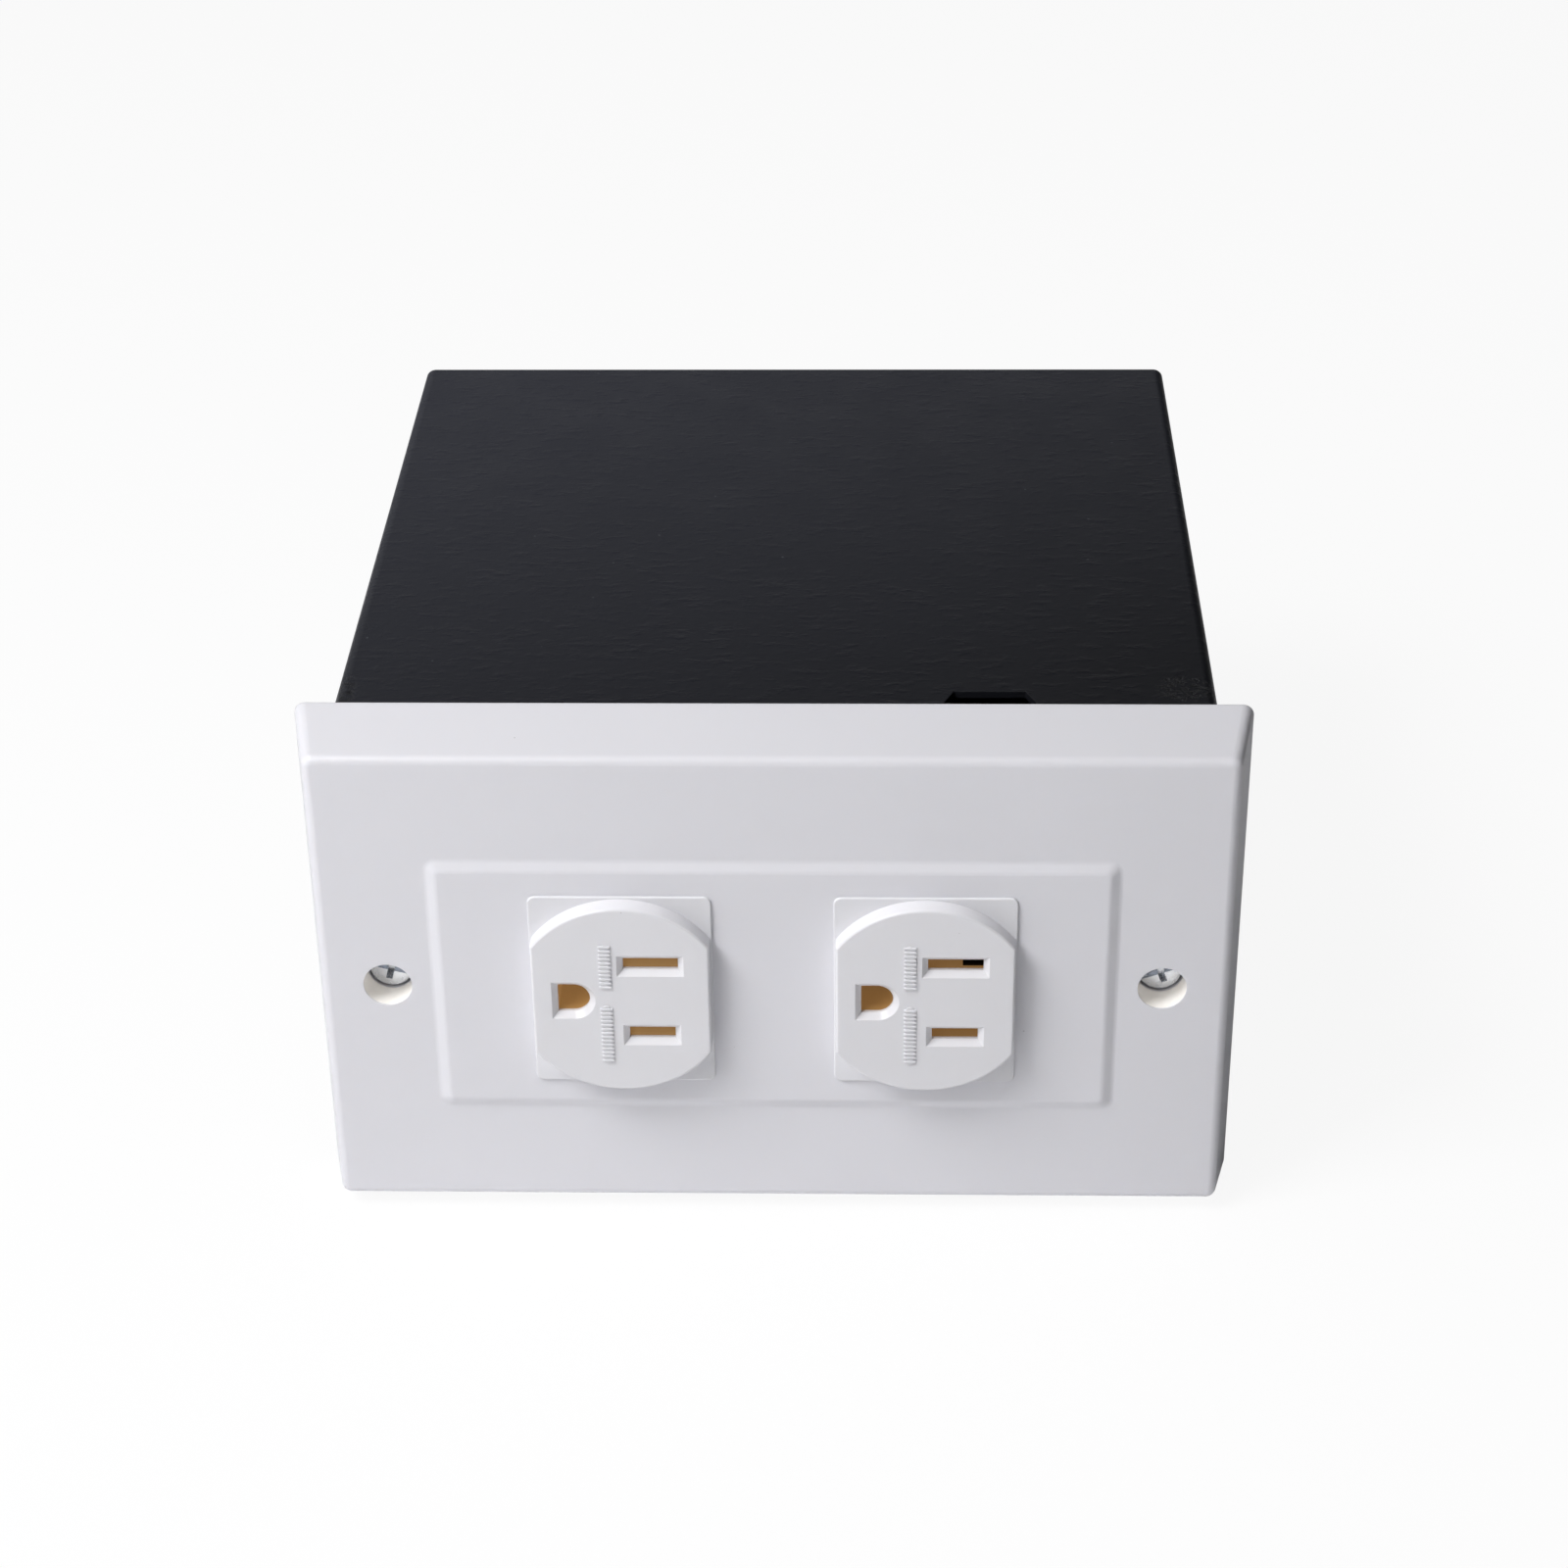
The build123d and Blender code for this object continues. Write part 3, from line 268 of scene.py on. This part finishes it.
def powder_coat(name):
    """Satin black powder coat with short level wrinkles, dust specks and scuffed front corners. Its colour
    is painted a little greyer towards the back left, a painted sheen."""
    g = Graph(name)
    x, y, _ = g.coordinates()
    # Painted sheen: the colour grows greyer towards the back and the left
    tone = g.maths("SUBTRACT", g.maths("MULTIPLY", y, 5.5), g.maths("MULTIPLY", x, 3.4))
    tone = g.maths("ADD", tone, g.span(g.noise(60 * MM, 2), 0.3, 0.7, 0.09, 0.15))
    base = g.mix(g.span(tone, 0, 1, 0, 1), (0.005, 0.0055, 0.008), (0.026, 0.028, 0.039))
    specks = g.maths("MULTIPLY", g.spots(7 * MM, 0.22 * MM), 0.35)
    base = g.mix(specks, base, (0.20, 0.21, 0.23))
    base = g.mix(g.maths("MULTIPLY", g.edges(0.25 * MM), 0.04), base, (0.11, 0.115, 0.125))
    patches = g.maths("MAXIMUM", *(g.scuffed(*patch) for patch in SCUFFS))
    scuffs = g.span(g.noise(0.9 * MM, 4, 0.7, g.stretched((0.6, 1.0, 1.0))), 0.50, 0.58, 0, 1)
    scuffs = g.maths("MULTIPLY", scuffs, patches)
    g.set(Base_Color=g.mix(g.maths("MULTIPLY", scuffs, 0.7), base, (0.003, 0.003, 0.004)))
    g.set(Roughness=g.span(g.noise(12 * MM, 4), 0.3, 0.7, 0.34, 0.46), Specular_IOR_Level=0.5)
    peel = g.noise(0.9 * MM, 3, 0.55, g.stretched((0.6, 1.0, 1.0)))
    wrinkle = g.span(g.noise(1.7 * MM, 3, 0.6, g.stretched((0.42, 1.0, 1.0))), 0.52, 0.68, 0, 1)
    height = g.maths("ADD", g.maths("MULTIPLY", peel, 0.8), g.maths("MULTIPLY", wrinkle, 0.8))
    height = g.maths("ADD", height, g.maths("MULTIPLY", g.noise(0.35 * MM, 2), 0.12))
    height = g.maths("SUBTRACT", height, g.maths("MULTIPLY", scuffs, 3.0))
    g.bump(height, 0.06 * MM, 0.25 * MM)
    return g


def metal(name, colour, rough=0.25, brushed=(1.0, 1.0, 1.0), depth=0.004 * MM, patch=0.1):
    """Plated or bare metal with cloudy tone, fine lines and worn edges."""
    g = Graph(name)
    dark = tuple(c * (1 - patch) for c in colour)
    g.set(Metallic=1.0)
    base = g.mix(g.noise(3 * MM, 4), dark, colour)
    bright = tuple(min(1.0, c * 1.2) for c in colour)
    g.set(Base_Color=g.mix(g.maths("MULTIPLY", g.edges(0.1 * MM), 0.5), base, bright))
    g.set(Roughness=g.span(g.noise(1.2 * MM, 4), 0.3, 0.7, rough - 0.07, rough + 0.09))
    lines = g.noise(0.25 * MM, 3, 0.6, g.stretched(brushed))
    g.bump(lines, depth, 0.08 * MM)
    return g


def brown_carrier(name):
    """Brown moulded plastic with a painted glow, painted light that keeps its colour bright inside its
    openings, stronger on the left receptacle than the right. Behind the shutters it is painted almost black,
    as painted shade."""
    g = Graph(name)
    x, y, _ = g.coordinates()
    # Painted shade: behind the shutters the brown is painted almost black, so the gaps read as deep
    before_shutters = g.maths("LESS_THAN", y, SHUTTER_BACK_Y)
    ground_hole = g.near_axis(GROUND_HOLE_XS, GROUND_HOLE_R, FACE_Y, 0.0)
    lit = g.maths("MAXIMUM", before_shutters, ground_hole)
    mottled = g.mix(g.noise(4 * MM, 4), (0.25, 0.14, 0.050), (0.30, 0.17, 0.060))
    g.set(Base_Color=g.mix(lit, (0.012, 0.009, 0.006), mottled))
    g.set(Roughness=g.span(g.noise(2 * MM, 3), 0.3, 0.7, 0.40, 0.52), Specular_IOR_Level=0.3)
    # Painted light: the brown glows inside its openings, more on the left than the right
    glow = g.span(x, -30 * MM, 16 * MM, BROWN_PAINTED_GLOW_LEFT, BROWN_PAINTED_GLOW_RIGHT)
    g.set(Emission_Color=(0.20, 0.112, 0.040), Emission_Strength=g.maths("MULTIPLY", glow, lit))
    g.bump(g.noise(0.3 * MM, 3), 0.006 * MM, 0.06 * MM)
    return g


def make_materials():
    return {
        "white_cover": white_plastic("white_cover", (0.765, 0.76, 0.80), 0.4, (-SCREW_X, SCREW_X)),
        "white_receptacle": white_plastic("white_receptacle", (0.785, 0.78, 0.81), 0.36),
        "black_powder_coat": powder_coat("black_powder_coat"),
        "brown_plastic": brown_carrier("brown_plastic"),
        "rear_plastic": moulded_plastic("rear_plastic", (0.05, 0.05, 0.052), 0.5, 0.2),
        "zinc_plated_steel": metal("zinc_plated_steel", (0.74, 0.77, 0.82), 0.22),
        "galvanised_steel": metal("galvanised_steel", (0.55, 0.56, 0.57), 0.4, patch=0.25),
        "spring_steel": metal("spring_steel", (0.45, 0.45, 0.46), 0.25, (1, 1, 6)),
        "brass": metal("brass", (0.78, 0.57, 0.24), 0.25, (1, 8, 1)),
        "tinned_brass": metal("tinned_brass", (0.66, 0.65, 0.60), 0.3),
        "boot_vinyl": moulded_plastic("boot_vinyl", (0.03, 0.03, 0.033), 0.55, 0.2),
        "wire_black": moulded_plastic("wire_black", (0.02, 0.02, 0.02), 0.4, 0.2),
        "wire_white": moulded_plastic("wire_white", (0.74, 0.74, 0.71), 0.4),
        "wire_green": moulded_plastic("wire_green", (0.02, 0.20, 0.06), 0.4, 0.15),
        "splice_plastic": moulded_plastic("splice_plastic", (0.42, 0.43, 0.44), 0.35),
        "green_screw": metal("green_screw", (0.05, 0.33, 0.12), 0.3),
        "cast_zinc": metal("cast_zinc", (0.52, 0.53, 0.55), 0.45, depth=0.02 * MM, patch=0.2),
    }


def paint_nodes(materials):
    for entry in frame["record"]["subparts"]:
        node = NODES[entry["node"]]
        node.data.materials.clear()
        node.data.materials.append(materials[entry["material_slot"]].material)


# Pieces added to the CAD


def box_mesh(bm, low, high):
    """Adds a closed box, corner to corner, to a mesh under construction."""
    xs, ys, zs = zip(low, high)
    corners = [bm.verts.new((x, y, z)) for x in xs for y in ys for z in zs]
    for face in ((0, 1, 3, 2), (4, 6, 7, 5), (0, 4, 5, 1), (2, 3, 7, 6), (0, 2, 6, 4), (1, 5, 7, 3)):
        bm.faces.new([corners[index] for index in face])


def new_piece(name, bm, material):
    """Turns a mesh under construction into an object in the scene."""
    bmesh.ops.recalc_face_normals(bm, faces=bm.faces)
    mesh = bpy.data.meshes.new(name)
    bm.to_mesh(mesh)
    bm.free()
    mesh.materials.append(material)
    obj = bpy.data.objects.new(name, mesh)
    bpy.context.scene.collection.objects.link(obj)
    return obj


def mark_ribs(side, centre, material):
    """Fine level ribs along the two raised bars of a receptacle's face."""
    bm = bmesh.new()
    x = centre + MARK_U
    for low, high in MARK_SPANS:
        count = int((high - low) / RIB_PITCH) + 1
        start = (low + high - (count - 1) * RIB_PITCH) / 2
        for step in range(count):
            z = start + step * RIB_PITCH
            front = (x - RIB_HALF_W, FACE_Y - RIB_RISE, z - RIB_HALF_H)
            back = (x + RIB_HALF_W, FACE_Y + RIB_SUNK, z + RIB_HALF_H)
            box_mesh(bm, front, back)
    obj = new_piece(f"{side}_mark_ribs", bm, material)
    soften = obj.modifiers.new("soften", "BEVEL")
    soften.width, soften.segments = RIB_SOFTEN, 2
    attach(obj, "housing")


def spring_coil(side, material):
    """A coil spring from its seat in the carrier to the shutter's lug."""
    node = f"{side}_shutter_spring"
    low, high = (Vector(corner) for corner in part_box(node))
    centre = (low + high) / 2
    radius = (high.x - low.x) / 2 - SPRING_WIRE_R
    steps = SPRING_TURNS * STEPS_PER_TURN
    bm = bmesh.new()
    rings = []
    for step in range(steps + 1):
        angle = step * 2 * math.pi / STEPS_PER_TURN
        z = low.z + SPRING_WIRE_R + (high.z - low.z - 2 * SPRING_WIRE_R) * step / steps
        out = Vector((math.cos(angle), math.sin(angle), 0))
        middle = Vector((centre.x, centre.y, z)) + out * radius
        ring = []
        for index in range(WIRE_SIDES):
            a = index * 2 * math.pi / WIRE_SIDES
            point = middle + (out * math.cos(a) + Vector((0, 0, 1)) * math.sin(a)) * SPRING_WIRE_R
            ring.append(bm.verts.new(point))
        rings.append(ring)
    for a, b in zip(rings, rings[1:]):
        for index in range(WIRE_SIDES):
            after = (index + 1) % WIRE_SIDES
            bm.faces.new((a[index], a[after], b[after], b[index]))
    bm.faces.new(rings[0][::-1])
    bm.faces.new(rings[-1])
    obj = new_piece(f"{side}_spring_coil", bm, material)
    for face in obj.data.polygons:
        face.use_smooth = True
    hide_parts(node)
    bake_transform(obj)


# Floor, light and camera


def studio():
    """A white floor at the object's lowest point, nearly evenly lit for the camera, with a faint shadow."""
    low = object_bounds()[0]
    bpy.ops.mesh.primitive_plane_add(size=FLOOR_SIZE, location=(0, 0, low[2]))
    floor = bpy.context.object
    floor.name = "floor"
    g = Graph("floor_white")
    g.set(Base_Color=(0.93, 0.93, 0.94), Roughness=0.8)
    glow = g.add("ShaderNodeEmission")
    glow.inputs["Strength"].default_value = 1.0
    seen = g.add("ShaderNodeMixShader")
    seen.inputs["Fac"].default_value = FLOOR_SHADE_SHARE
    g.links.new(glow.outputs["Emission"], seen.inputs[1])
    g.links.new(g.shader.outputs["BSDF"], seen.inputs[2])
    either = g.add("ShaderNodeMixShader")
    g.links.new(g.add("ShaderNodeLightPath").outputs["Is Camera Ray"], either.inputs["Fac"])
    g.links.new(g.shader.outputs["BSDF"], either.inputs[1])
    g.links.new(seen.outputs["Shader"], either.inputs[2])
    g.links.new(either.outputs["Shader"], g.nodes["Material Output"].inputs["Surface"])
    floor.data.materials.append(g.material)


def area_light(name, place, aim, size, power):
    light = bpy.data.lights.new(name, "AREA")
    light.shape = "RECTANGLE"
    light.size, light.size_y = size
    light.energy = power
    obj = bpy.data.objects.new(name, light)
    bpy.context.scene.collection.objects.link(obj)
    direction = Vector(aim) - Vector(place)
    obj.rotation_euler = direction.to_track_quat("-Z", "Y").to_euler()
    obj.location = place


def lights():
    """A softbox at the upper left, a fill beside the camera, a low strip behind and a dim room."""
    for light in LIGHTS:
        area_light(*light)
    world = bpy.data.worlds.new("room")
    world.use_nodes = True
    tree = world.node_tree

    def node(kind, **inputs):
        made = tree.nodes.new(kind)
        for name, value in inputs.items():
            made.inputs[name.replace("_", " ")].default_value = value
        return made

    background = tree.nodes["Background"]
    background.inputs["Color"].default_value = (1, 1, 1, 1)
    split = node("ShaderNodeSeparateXYZ")
    left = node("ShaderNodeMapRange", From_Min=0.0, From_Max=-1.0, To_Min=ROOM_DARK, To_Max=ROOM_BRIGHT)
    seen = node("ShaderNodeMapRange", To_Max=1.0)
    tree.links.new(node("ShaderNodeTexCoord").outputs["Generated"], split.inputs["Vector"])
    tree.links.new(split.outputs["X"], left.inputs["Value"])
    tree.links.new(left.outputs["Result"], seen.inputs["To Min"])
    tree.links.new(node("ShaderNodeLightPath").outputs["Is Camera Ray"], seen.inputs["Value"])
    tree.links.new(seen.outputs["Result"], background.inputs["Strength"])
    bpy.context.scene.world = world


def camera():
    data = bpy.data.cameras.new("camera")
    data.lens = CAMERA_LENS
    data.sensor_width = CAMERA_SENSOR
    data.clip_start = 0.01
    obj = bpy.data.objects.new("camera", data)
    bpy.context.scene.collection.objects.link(obj)
    turn = Matrix.Rotation(math.radians(CAMERA_LEFT), 4, "Z")
    tilt = Matrix.Rotation(math.radians(90 - CAMERA_DOWN), 4, "X")
    roll = Matrix.Rotation(math.radians(CAMERA_ROLL), 4, "Z")
    obj.matrix_world = Matrix.Translation(CAMERA_PLACE) @ turn @ tilt @ roll
    bpy.context.scene.camera = obj


materials = make_materials()
paint_nodes(materials)
for side, centre in zip(("left", "right"), RECEPTACLE_XS):
    mark_ribs(side, centre, materials["white_receptacle"].material)
    spring_coil(side, materials["spring_steel"].material)
studio()
lights()
camera()
bpy.context.scene.view_settings.view_transform = "Standard"
